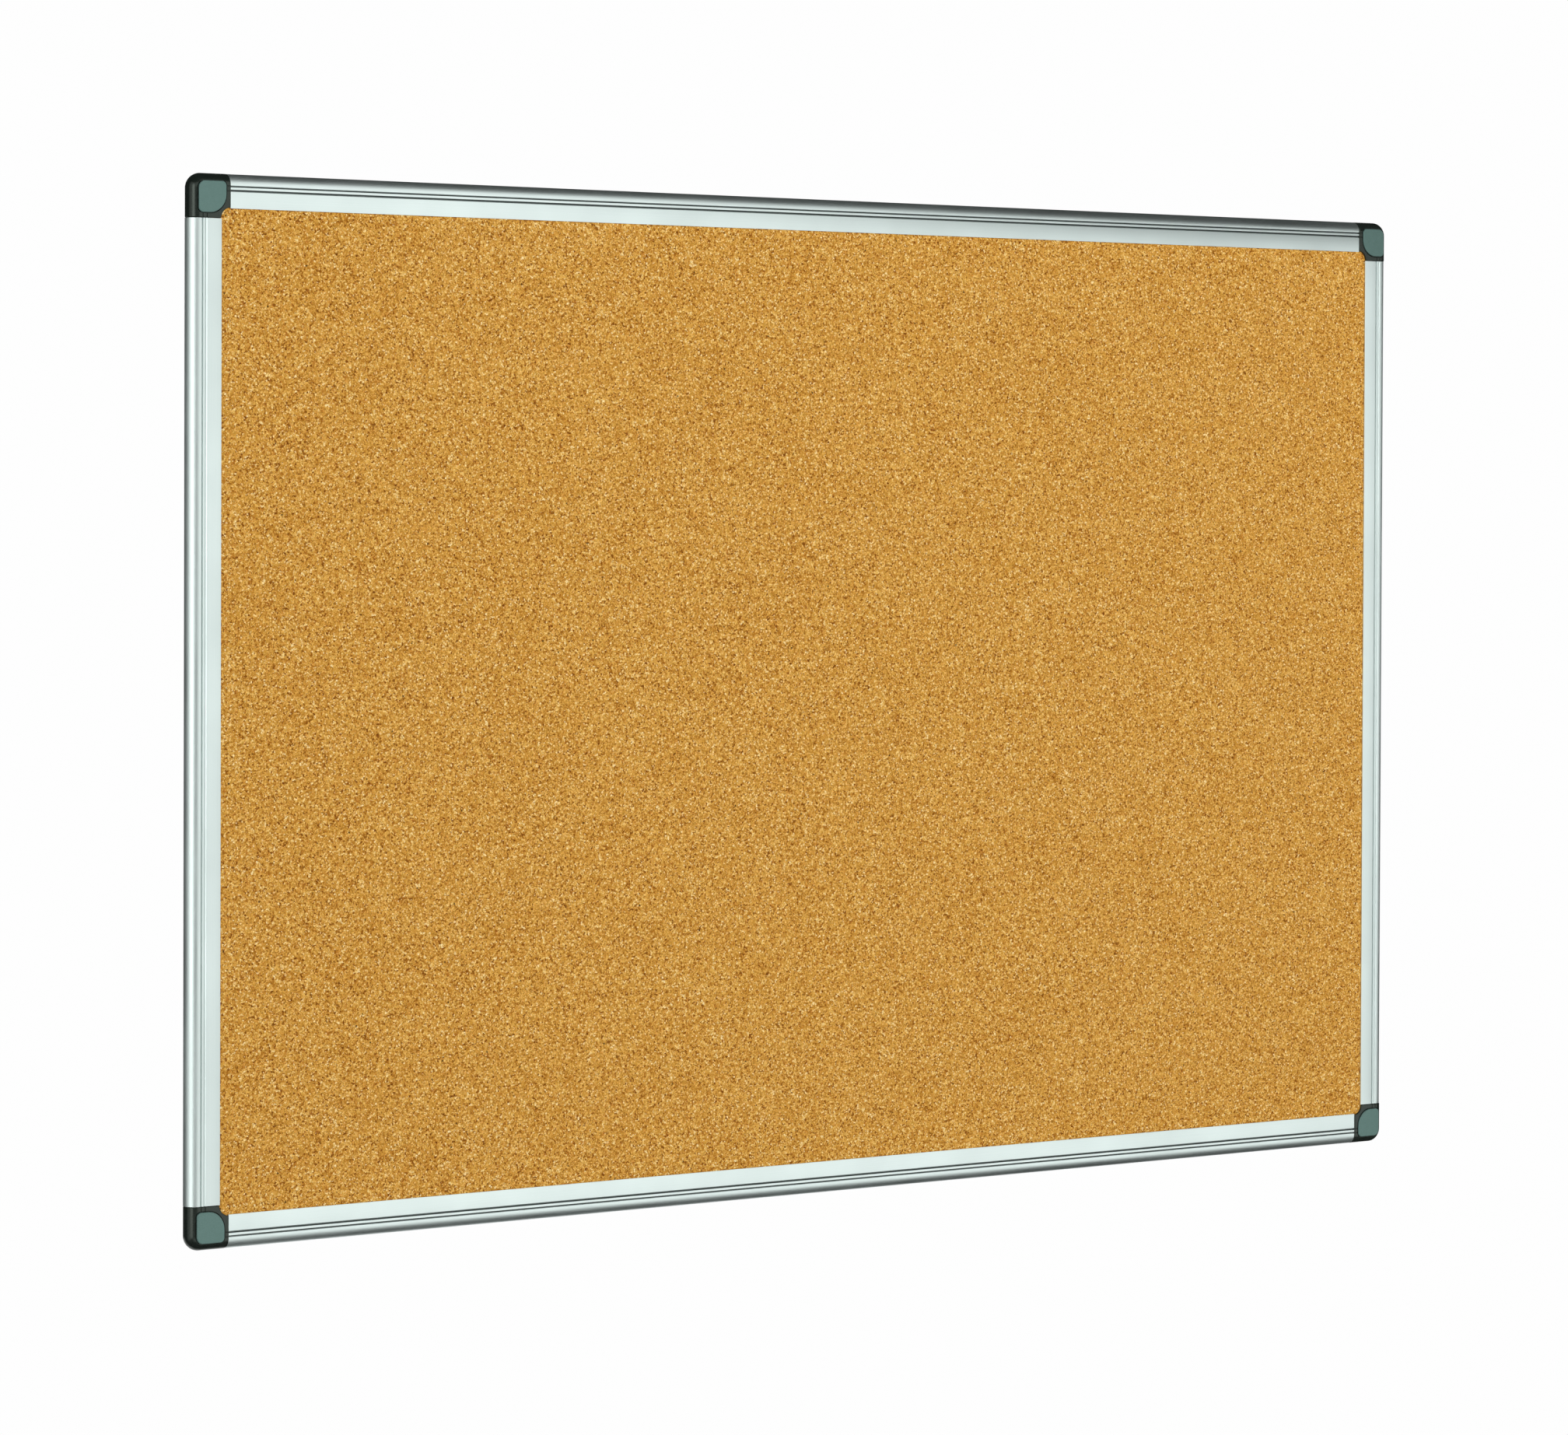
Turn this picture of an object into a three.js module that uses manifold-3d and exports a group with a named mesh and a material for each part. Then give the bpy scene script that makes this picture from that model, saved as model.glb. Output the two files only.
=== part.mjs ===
// Wall-hung cork bulletin board, 900 x 600 mm: a cork sheet on a softboard core
// and a thin backing sheet, held in the channels of four aluminium rails that
// are joined by four moulded corner pieces. Each corner has a screw hole under
// a pull-off cap.
//
// Units are millimetres. The origin is the centre of the back (wall) plane,
// the board faces -Y, and +Z is up.

import * as THREE from 'three';
import { mergeVertices } from 'three/addons/utils/BufferGeometryUtils.js';
import Module from 'manifold-3d';

const wasm = await Module();
wasm.setup();

// ---------------------------------------------------------------- dimensions
const BOARD_W = 900; // outside width, over the corner mouldings
const BOARD_H = 600; // outside height
const GAP = 0.3; // clearance between pieces that meet

// rail extrusion; t runs outwards from the rail's inner edge, v from the wall
const RAIL_FACE = 19; // inner edge of a rail to the board's outline
const RAIL_WIDTH = 18.7; // the extrusion itself, a little inside the corners
const RAIL_DEPTH = 12;
const RAIL_WALL = 1.2;
const LIP_WALL = 0.8; // front lip that laps over the cork
const CHANNEL_DEPTH = 7; // how far the panel channel reaches outwards
const BACK_FLANGE_SETBACK = 2; // the back flange is shorter than the front lip
const NOSE_R = 6; // round outer edge, a half circle
const GROOVE_FLOOR = 11; // v of the floors of the two grooves
const BEAD_TOP = 12.1; // v of the crest of the bead between them

// panel
const CORK_T = 2.0;
const BACKING_T = 0.6;
const PANEL_CLIP = 12; // panel corners are cut off by this leg length

// corner moulding, in plan; its outer edges are the board's outline
const CORNER_SIZE = 25;
const CORNER_DEPTH = 12.5; // half a millimetre proud of the rails
const CORNER_R = 8.5; // outer corner in plan
const CORNER_INNER_R = 6; // hollow corner next to the cork
const CORNER_PLATE_BACK = 11.2; // v of the underside of its front plate
const HOLE_INSET = 13.1; // screw hole centre to both outer edges
const HOLE_R = 3.1;
const HEAD_RECESS_R = 5.6; // room for the screw head and the cap's prongs
const HEAD_RECESS_FLOOR = 7.0; // v
const CAP_RECESS_FLOOR = 11.8; // v
const LEG_LENGTH = 28;
const LEG_HOLE_R = 1.9;
const LEG_SCREW_T = 11.4; // t of the rail screws
const LEG_SCREW_IN = 14; // rail screw to the end of the rail

// cap
const CAP_HALF = 9.15; // half of its outline
const CAP_FRONT = 13.2; // v of its face
const CAP_BACK = 12.1; // v of its underside
const CAP_EDGE = 0.35; // rounding round its face
const CAP_R_OUT = 4.0;
const CAP_R_SIDE = 2.75;
const CAP_R_IN = 10.5;
const PRONG_LENGTH = 4.5;
const PRONG_WIDTH = 3.2;
const PRONG_T = 0.9;
const PRONG_OUT = 5.0; // prong's outer face to the cap's centre

// rail screw, countersunk
const SCREW_HEAD_R = 2.75;
const SCREW_R = 1.5;
const SCREW_SUNK = 0.15; // its head sits this far inside the back plane
const SCREW_TIP = 8.2; // v of its point

// ------------------------------------------------------------------- helpers
const V2 = (x, y) => new THREE.Vector2(x, y);

function arc(cx, cy, r, fromDeg, toDeg, steps) {
  const points = [];
  for (let i = 0; i <= steps; i++) {
    const a = THREE.MathUtils.degToRad(fromDeg + ((toDeg - fromDeg) * i) / steps);
    points.push(V2(cx + r * Math.cos(a), cy + r * Math.sin(a)));
  }
  return points;
}

// A plan outline (x, z) raised from v0 to v1 off the wall.
function prism(points, v0, v1) {
  const g = new THREE.ExtrudeGeometry(new THREE.Shape(points), {
    depth: v1 - v0,
    bevelEnabled: false,
  });
  return g.translate(0, 0, v0).rotateX(Math.PI / 2);
}

// The same with its edges rounded over by the given size and depth, inside v0..v1.
function roundedPrism(points, v0, v1, size, thickness, segments) {
  const g = new THREE.ExtrudeGeometry(new THREE.Shape(points), {
    depth: v1 - v0 - 2 * thickness,
    bevelEnabled: true,
    bevelSize: size,
    bevelThickness: thickness,
    bevelSegments: segments,
  });
  return g.translate(0, 0, v0 + thickness).rotateX(Math.PI / 2);
}


// A turned shape about the v axis, from a closed (radius, v) profile.
function turned(profile, steps) {
  return new THREE.LatheGeometry(profile, steps).rotateX(Math.PI);
}

function solid(geometry) {
  const bare = geometry.clone();
  bare.deleteAttribute('normal');
  bare.deleteAttribute('uv');
  const merged = mergeVertices(bare, 1e-4);
  return new wasm.Manifold(
    new wasm.Mesh({
      numProp: 3,
      vertProperties: new Float32Array(merged.attributes.position.array),
      triVerts: new Uint32Array(merged.index.array),
    }),
  );
}

function geometryOf(manifold) {
  const m = manifold.getMesh();
  const g = new THREE.BufferGeometry();
  g.setAttribute('position', new THREE.BufferAttribute(new Float32Array(m.vertProperties), 3));
  g.setIndex(new THREE.BufferAttribute(new Uint32Array(m.triVerts), 1));
  const flat = g.toNonIndexed();
  flat.computeVertexNormals();
  return flat;
}

// ----------------------------------------------------------------- materials
const aluminium = new THREE.MeshStandardMaterial({ color: 0xdfe5e6, metalness: 0.9, roughness: 0.34 });
const cork = new THREE.MeshStandardMaterial({ color: 0xc89a52, metalness: 0, roughness: 0.9 });
const softboard = new THREE.MeshStandardMaterial({ color: 0x9b7b55, metalness: 0, roughness: 0.95 });
const kraft = new THREE.MeshStandardMaterial({ color: 0x8c8f8d, metalness: 0, roughness: 0.85 });
const blackPlastic = new THREE.MeshStandardMaterial({ color: 0x2c312f, metalness: 0, roughness: 0.42 });
const greyPlastic = new THREE.MeshStandardMaterial({ color: 0x6b837b, metalness: 0, roughness: 0.55 });
const zinc = new THREE.MeshStandardMaterial({ color: 0xb9bcbc, metalness: 0.9, roughness: 0.35 });

// --------------------------------------------------------------------- rails
// Cross-section: front lip, two grooves with a bead between them, round nose,
// back flange, panel channel open inwards, and a tube that takes a corner leg.
const noseT = RAIL_WIDTH - NOSE_R;
const outline = [
  V2(0, RAIL_DEPTH - LIP_WALL),
  V2(0, RAIL_DEPTH - 0.55),
  V2(0.16, RAIL_DEPTH - 0.16),
  V2(0.55, RAIL_DEPTH),
  V2(9.15, RAIL_DEPTH),
  V2(9.35, GROOVE_FLOOR),
  V2(9.95, GROOVE_FLOOR),
  V2(10.2, 11.78),
  V2(10.5, 12.02),
  V2(10.87, BEAD_TOP),
  V2(11.24, 12.02),
  V2(11.5, 11.78),
  V2(11.75, GROOVE_FLOOR),
  V2(12.25, GROOVE_FLOOR),
  V2(12.45, 11.85),
  ...arc(noseT, NOSE_R, NOSE_R, 90, -90, 12),
  V2(BACK_FLANGE_SETBACK, 0),
  V2(BACK_FLANGE_SETBACK, RAIL_WALL),
  V2(CHANNEL_DEPTH, RAIL_WALL),
  V2(CHANNEL_DEPTH, RAIL_DEPTH - LIP_WALL),
];
const tubeInner = CHANNEL_DEPTH + RAIL_WALL; // t where the tube starts
const tubeTop = GROOVE_FLOOR - RAIL_WALL; // v of its ceiling, under the grooves

// The tube's hollow, or the leg that fills it when shrunk by a clearance.
function tubeSection(clear) {
  const r = NOSE_R - RAIL_WALL - clear;
  const top = THREE.MathUtils.radToDeg(Math.asin((tubeTop - clear - NOSE_R) / r));
  return [
    V2(tubeInner + clear, RAIL_WALL + clear),
    ...arc(noseT, NOSE_R, r, -90, top, 8),
    V2(tubeInner + clear, tubeTop - clear),
  ];
}

function screwSeat(depth, r0, r1) {
  return turned([V2(0, -1), V2(r0 + 1, -1), V2(r0, 0), V2(r1, r0 - r1), V2(r1, depth), V2(0, depth)], 16);
}

// A rail of the given length, centred on the origin, running along X with its
// inner edge on z = 0 and its back on y = 0.
function railGeometry(length) {
  const section = new THREE.Shape(outline);
  section.holes.push(new THREE.Path(tubeSection(0)));
  const g = new THREE.ExtrudeGeometry(section, { depth: length, bevelEnabled: false });
  // (t, v, along) -> (along, -v, t)
  g.applyMatrix4(new THREE.Matrix4().set(0, 0, 1, -length / 2, 0, -1, 0, 0, 1, 0, 0, 0, 0, 0, 0, 1));
  let rail = solid(g);
  for (const side of [-1, 1]) {
    const seat = screwSeat(3, 3.3, 2.0);
    seat.translate(side * (length / 2 - LEG_SCREW_IN), 0, LEG_SCREW_T);
    rail = rail.subtract(solid(seat));
  }
  return geometryOf(rail);
}

const railEndX = BOARD_W / 2 - CORNER_SIZE - GAP;
const railEndZ = BOARD_H / 2 - CORNER_SIZE - GAP;
const longRail = railGeometry(2 * railEndX);
const shortRail = railGeometry(2 * railEndZ);

// ----------------------------------------------------------- corner moulding
// Local frame: the screw hole's axis is the origin, the board's outer corner
// is towards +X and +Z, and the cork is towards -X and -Z.
const inner = HOLE_INSET - CORNER_SIZE; // the two faces that meet the rails
const lipLine = HOLE_INSET - RAIL_FACE; // in line with the rails' inner edges

function cornerGeometry() {
  const noseR = CORNER_DEPTH / 2;
  const flat = HOLE_INSET - noseR;
  const far = flat - 45;
  const planR = CORNER_R - noseR;
  const blank = roundedPrism(
    [V2(far, far), V2(flat, far), ...arc(flat - planR, flat - planR, planR, 0, 90, 6), V2(far, flat)],
    0,
    CORNER_DEPTH,
    noseR,
    noseR - 0.05,
    7,
  );
  const plan = [
    V2(inner, lipLine),
    V2(inner, HOLE_INSET + 1),
    V2(HOLE_INSET + 1, HOLE_INSET + 1),
    V2(HOLE_INSET + 1, inner),
    V2(lipLine, inner),
    ...arc(inner, inner, CORNER_INNER_R, 0, 90, 6).slice(1, -1),
  ];
  let body = solid(blank).intersect(solid(prism(plan, -1, CORNER_DEPTH + 1)));

  // room for the panel, whose own corner is cut off to clear the screw boss
  const edge = lipLine + CHANNEL_DEPTH;
  const clip = PANEL_CLIP - 0.6;
  const pocket = [
    V2(inner - 1, inner - 1),
    V2(edge, inner - 1),
    V2(edge, edge - clip),
    V2(edge - clip, edge),
    V2(inner - 1, edge),
  ];
  body = body.subtract(solid(prism(pocket, RAIL_WALL, CORNER_PLATE_BACK)));

  // two legs that plug into the rails' tubes
  const legShape = new THREE.Shape(tubeSection(GAP));
  const legLength = LEG_LENGTH + 3;
  const leg = new THREE.ExtrudeGeometry(legShape, { depth: legLength, bevelEnabled: false });
  const alongX = leg.clone();
  // (t, v, along) -> (along, -v, t), ending inside the block
  alongX.applyMatrix4(
    new THREE.Matrix4().set(0, 0, 1, inner + 3 - legLength, 0, -1, 0, 0, 1, 0, 0, lipLine, 0, 0, 0, 1),
  );
  const alongZ = leg.clone();
  // (t, v, along) -> (t, -v, -along)
  alongZ.applyMatrix4(
    new THREE.Matrix4().set(1, 0, 0, lipLine, 0, -1, 0, 0, 0, 0, -1, inner + 3, 0, 0, 0, 1),
  );
  body = body.add(solid(alongX)).add(solid(alongZ));

  // holes for the rail screws
  const screwLine = lipLine + LEG_SCREW_T;
  const screwAt = inner - GAP - LEG_SCREW_IN;
  for (const [x, z] of [
    [screwAt, screwLine],
    [screwLine, screwAt],
  ]) {
    const hole = turned([V2(0, 0), V2(LEG_HOLE_R, 0), V2(LEG_HOLE_R, 12), V2(0, 12)], 16);
    body = body.subtract(solid(hole.translate(x, 0, z)));
  }

  // cap recess, screw head recess and screw hole
  const grow = 0.35;
  body = body.subtract(solid(prism(capOutline(grow), CAP_RECESS_FLOOR, CORNER_DEPTH + 2)));
  body = body.subtract(
    solid(
      turned([V2(0, HEAD_RECESS_FLOOR), V2(HEAD_RECESS_R, HEAD_RECESS_FLOOR), V2(HEAD_RECESS_R, 13), V2(0, 13)], 32),
    ),
  );
  body = body.subtract(solid(turned([V2(0, -1), V2(HOLE_R, -1), V2(HOLE_R, 9), V2(0, 9)], 24)));
  return geometryOf(body);
}

// ----------------------------------------------------------------------- cap
function capOutline(grow) {
  const h = CAP_HALF + grow;
  const rOut = CAP_R_OUT + grow;
  const rSide = CAP_R_SIDE + grow;
  const rIn = CAP_R_IN + grow;
  return [
    ...arc(h - rOut, h - rOut, rOut, 0, 90, 5),
    ...arc(-h + rSide, h - rSide, rSide, 90, 180, 4),
    ...arc(-h + rIn, -h + rIn, rIn, 180, 270, 7),
    ...arc(h - rSide, -h + rSide, rSide, 270, 360, 4),
  ];
}

function capGeometry() {
  let cap = solid(roundedPrism(capOutline(-CAP_EDGE), CAP_BACK, CAP_FRONT, CAP_EDGE, CAP_EDGE, 2));
  const prong = new THREE.BoxGeometry(PRONG_WIDTH, PRONG_LENGTH + 0.5, PRONG_T);
  for (let i = 0; i < 4; i++) {
    const one = prong.clone();
    one.translate(0, -(CAP_BACK + 0.5 - (PRONG_LENGTH + 0.5) / 2), PRONG_OUT - PRONG_T / 2);
    one.rotateY((i * Math.PI) / 2);
    cap = cap.add(solid(one));
  }
  return geometryOf(cap);
}

// --------------------------------------------------------------------- screw
function screwGeometry() {
  const neck = SCREW_SUNK + SCREW_HEAD_R - SCREW_R;
  let screw = solid(
    turned(
      [
        V2(0, SCREW_SUNK),
        V2(SCREW_HEAD_R, SCREW_SUNK),
        V2(SCREW_R, neck),
        V2(SCREW_R, SCREW_TIP - 1.8),
        V2(0, SCREW_TIP),
      ],
      16,
    ),
  );
  for (const turn of [0, Math.PI / 2]) {
    const slot = new THREE.BoxGeometry(2.9, 2.2, 0.6).rotateY(turn);
    screw = screw.subtract(solid(slot));
  }
  return geometryOf(screw);
}

// ------------------------------------------------------------------ assembly
const board = new THREE.Group();

function place(name, geometry, material, x = 0, z = 0, turn = 0) {
  const mesh = new THREE.Mesh(geometry, material);
  mesh.name = name;
  mesh.position.set(x, 0, z);
  mesh.rotation.y = THREE.MathUtils.degToRad(turn);
  board.add(mesh);
}

// panel: cork, softboard core and backing, all cut to one outline
const panelX = BOARD_W / 2 - RAIL_FACE + CHANNEL_DEPTH - GAP;
const panelZ = BOARD_H / 2 - RAIL_FACE + CHANNEL_DEPTH - GAP;
const panel = [];
for (const [sx, sz] of [
  [1, 1],
  [-1, 1],
  [-1, -1],
  [1, -1],
]) {
  const a = V2(sx * panelX, sz * (panelZ - PANEL_CLIP));
  const b = V2(sx * (panelX - PANEL_CLIP), sz * panelZ);
  panel.push(...(sx === sz ? [a, b] : [b, a]));
}
const corkFront = RAIL_DEPTH - LIP_WALL - GAP;
const backingBack = RAIL_WALL + 0.4;
place('cork_sheet', prism(panel, corkFront - CORK_T, corkFront), cork);
place('softboard_core', prism(panel, backingBack + BACKING_T + GAP, corkFront - CORK_T - GAP), softboard);
place('backing_sheet', prism(panel, backingBack, backingBack + BACKING_T), kraft);

// rails
const innerX = BOARD_W / 2 - RAIL_FACE;
const innerZ = BOARD_H / 2 - RAIL_FACE;
place('rail_top', longRail, aluminium, 0, innerZ, 0);
place('rail_right', shortRail, aluminium, innerX, 0, 90);
place('rail_bottom', longRail, aluminium, 0, -innerZ, 180);
place('rail_left', shortRail, aluminium, -innerX, 0, 270);

// corners with their caps
const holeX = BOARD_W / 2 - HOLE_INSET;
const holeZ = BOARD_H / 2 - HOLE_INSET;
const corner = cornerGeometry();
const cap = capGeometry();
for (const [where, x, z, turn] of [
  ['top_right', holeX, holeZ, 0],
  ['bottom_right', holeX, -holeZ, 90],
  ['bottom_left', -holeX, -holeZ, 180],
  ['top_left', -holeX, holeZ, 270],
]) {
  place(`corner_${where}`, corner, blackPlastic, x, z, turn);
  place(`cap_${where}`, cap, greyPlastic, x, z, turn);
}

// rail screws, two in each rail
const screw = screwGeometry();
const alongX = railEndX - LEG_SCREW_IN;
const alongZ = railEndZ - LEG_SCREW_IN;
const outX = innerX + LEG_SCREW_T;
const outZ = innerZ + LEG_SCREW_T;
for (const [name, x, z] of [
  ['screw_top_rail_left', -alongX, outZ],
  ['screw_top_rail_right', alongX, outZ],
  ['screw_bottom_rail_left', -alongX, -outZ],
  ['screw_bottom_rail_right', alongX, -outZ],
  ['screw_left_rail_top', -outX, alongZ],
  ['screw_left_rail_bottom', -outX, -alongZ],
  ['screw_right_rail_top', outX, alongZ],
  ['screw_right_rail_bottom', outX, -alongZ],
]) {
  place(name, screw, zinc, x, z, 0);
}

export default board;
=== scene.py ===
import math

import bmesh
import bpy
import numpy as np
from mathutils import Matrix, Vector


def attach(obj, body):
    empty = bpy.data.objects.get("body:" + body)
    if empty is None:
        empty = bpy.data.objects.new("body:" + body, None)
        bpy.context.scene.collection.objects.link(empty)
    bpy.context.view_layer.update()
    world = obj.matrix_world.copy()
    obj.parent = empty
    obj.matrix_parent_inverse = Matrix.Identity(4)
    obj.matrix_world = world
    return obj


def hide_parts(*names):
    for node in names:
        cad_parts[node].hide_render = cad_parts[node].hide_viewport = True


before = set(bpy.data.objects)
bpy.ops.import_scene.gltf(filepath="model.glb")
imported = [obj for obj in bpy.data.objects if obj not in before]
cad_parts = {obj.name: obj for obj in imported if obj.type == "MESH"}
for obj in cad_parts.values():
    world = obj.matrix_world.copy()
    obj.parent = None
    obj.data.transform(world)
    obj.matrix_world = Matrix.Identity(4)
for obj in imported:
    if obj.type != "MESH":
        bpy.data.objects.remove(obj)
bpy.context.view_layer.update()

MM = 0.001
scene = bpy.context.scene
scene.view_settings.view_transform = "Standard"
scene.view_settings.look = "None"
scene.view_settings.exposure = 0.0
scene.view_settings.gamma = 1.0

# ------------------------------------------------------------------ dimensions
# The same numbers as the CAD source, in millimetres.
W, H = 900.0, 600.0
RAIL_FACE, RAIL_WIDTH, RAIL_DEPTH, RAIL_WALL = 19.4, 19.35, 12.0, 1.2
LIP_WALL, CHANNEL_DEPTH, FLANGE_SETBACK = 0.8, 7.0, 2.0
NOSE_R = 6.0
CORNER_SIZE, CORNER_DEPTH, CORNER_R, CORNER_INNER_R = 25.0, 12.5, 8.5, 6.0
HOLE_INSET, HOLE_R, HEAD_R, HEAD_FLOOR, CAP_FLOOR = 13.1, 3.1, 5.6, 7.0, 11.8
PANEL_CLIP = 12.0
GAP = 0.3
LEG_SCREW_T, LEG_SCREW_IN, LEG_LENGTH = 11.4, 14.0, 28.0
CAP_HALF, CAP_FRONT, CAP_BACK = 8.9, 13.2, 12.1
# the rail's two grooves: from, to, as distances from its inner edge, and their floor
GROOVES, GROOVE_FLOOR = ((9.22, 10.16), (11.94, 12.74)), 11.05


# -------------------------------------------------------------------- node kit
class Kit:
    """Short ways to make and join shader nodes in one material."""

    def __init__(self, name):
        self.mat = bpy.data.materials.new(name)
        self.mat.use_nodes = True
        self.nt = self.mat.node_tree
        self.nt.nodes.clear()
        out = self.nt.nodes.new("ShaderNodeOutputMaterial")
        self.bsdf = self.nt.nodes.new("ShaderNodeBsdfPrincipled")
        self.nt.links.new(self.bsdf.outputs[0], out.inputs[0])

    def put(self, socket, value):
        if isinstance(value, bpy.types.NodeSocket):
            self.nt.links.new(value, socket)
        elif value is not None:
            socket.default_value = value

    def coords(self):
        """Object coordinates in millimetres."""
        tc = self.nt.nodes.new("ShaderNodeTexCoord")
        return self.vmath("MULTIPLY", tc.outputs["Object"], (1000.0, 1000.0, 1000.0))

    def vmath(self, op, a, b=None):
        n = self.nt.nodes.new("ShaderNodeVectorMath")
        n.operation = op
        self.put(n.inputs[0], a)
        self.put(n.inputs[1], b)
        return n.outputs[1] if op in ("LENGTH", "DOT_PRODUCT", "DISTANCE") else n.outputs[0]

    def math(self, op, a, b=None, c=None, clamp=False):
        n = self.nt.nodes.new("ShaderNodeMath")
        n.operation = op
        n.use_clamp = clamp
        for i, v in enumerate((a, b, c)):
            self.put(n.inputs[i], v)
        return n.outputs[0]

    def noise(self, vec, scale, detail=2.0, rough=0.5, colour=False, distortion=0.0):
        n = self.nt.nodes.new("ShaderNodeTexNoise")
        self.put(n.inputs["Vector"], vec)
        n.inputs["Scale"].default_value = scale
        n.inputs["Detail"].default_value = detail
        n.inputs["Roughness"].default_value = rough
        n.inputs["Distortion"].default_value = distortion
        return n.outputs["Color" if colour else 0]

    def voronoi(self, vec, scale, feature="F1", smooth=None, randomness=1.0):
        n = self.nt.nodes.new("ShaderNodeTexVoronoi")
        n.feature = feature
        self.put(n.inputs["Vector"], vec)
        n.inputs["Scale"].default_value = scale
        n.inputs["Randomness"].default_value = randomness
        if smooth is not None and "Smoothness" in n.inputs:
            n.inputs["Smoothness"].default_value = smooth
        return n.outputs

    def ramp(self, fac, stops, mode="LINEAR"):
        n = self.nt.nodes.new("ShaderNodeValToRGB")
        n.color_ramp.interpolation = mode
        e = n.color_ramp.elements
        while len(e) > 1:
            e.remove(e[-1])
        e[0].position, e[0].color = stops[0][0], _rgba(stops[0][1])
        for p, c in stops[1:]:
            k = e.new(p)
            k.color = _rgba(c)
        self.put(n.inputs[0], fac)
        return n.outputs[0]

    def range(self, value, a0, a1, b0=0.0, b1=1.0, smooth=False):
        n = self.nt.nodes.new("ShaderNodeMapRange")
        if smooth:
            n.interpolation_type = "SMOOTHSTEP"
        self.put(n.inputs["Value"], value)
        for k, v in zip(("From Min", "From Max", "To Min", "To Max"), (a0, a1, b0, b1)):
            n.inputs[k].default_value = v
        return n.outputs[0]

    def mix(self, fac, a, b, blend="MIX"):
        n = self.nt.nodes.new("ShaderNodeMix")
        n.data_type = "RGBA"
        n.blend_type = blend
        n.clamp_factor = True
        ins = [s for s in n.inputs if s.enabled]
        self.put(ins[0], fac)
        self.put(ins[1], _rgba(a) if isinstance(a, tuple) else a)
        self.put(ins[2], _rgba(b) if isinstance(b, tuple) else b)
        return [s for s in n.outputs if s.enabled][0]

    def bump(self, height, strength, distance, normal=None):
        n = self.nt.nodes.new("ShaderNodeBump")
        n.inputs["Strength"].default_value = strength
        n.inputs["Distance"].default_value = distance
        self.put(n.inputs["Height"], height)
        self.put(n.inputs["Normal"], normal)
        return n.outputs[0]

    def set(self, **values):
        for k, v in values.items():
            self.put(self.bsdf.inputs[k.replace("_", " ")], v)


def _rgba(c):
    return tuple(c) + (1.0,) if len(c) == 3 else tuple(c)


def srgb(r, g, b):
    """A linear colour from 0-255 display values."""
    return tuple(
        (v / 255 / 12.92) if v / 255 <= 0.04045 else ((v / 255 + 0.055) / 1.055) ** 2.4
        for v in (r, g, b)
    )


def grey(v):
    return (v, v, v)


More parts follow.
